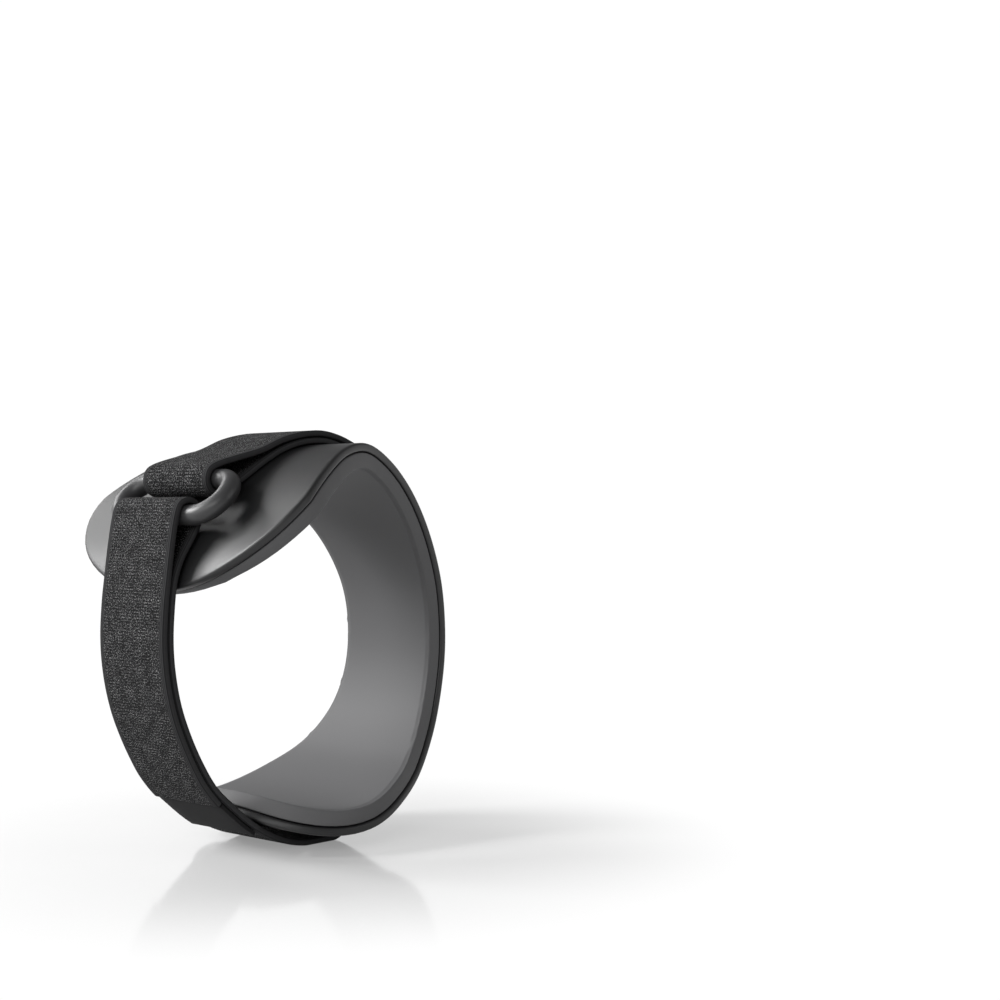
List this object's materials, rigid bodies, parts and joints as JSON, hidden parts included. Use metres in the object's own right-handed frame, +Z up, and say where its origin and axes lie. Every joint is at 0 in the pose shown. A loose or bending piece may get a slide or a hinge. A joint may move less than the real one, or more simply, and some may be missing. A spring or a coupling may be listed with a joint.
{
  "type": "tennis elbow strap",
  "caption": "Elbow clasp: springy C-shaped shell with broad lobes and a foam pad, closed by an elastic strap through an oval ring.",
  "frame": {"origin": "on the flat underside of the strap, where the clasp stands, midway between its two rims", "axes": "+Z up; +Y along the arm; +X towards the narrow waist of the shell, away from the strap's open side"},
  "size_m": [0.093, 0.0788, 0.1044],
  "materials": {
    "nylon": "satin moulded nylon, black",
    "foam": "smooth closed-cell foam, dark grey",
    "webbing": "woven elastic with a heather black surface",
    "acetal": "satin moulded acetal, black",
    "hook_tape": "matt hook tape, black"
  },
  "bodies": {
    "root": {"shell": "nylon", "foam_pad": "foam", "strap": "webbing", "ring": "acetal", "hook_tab": "hook_tape"}
  },
  "joints": []
}
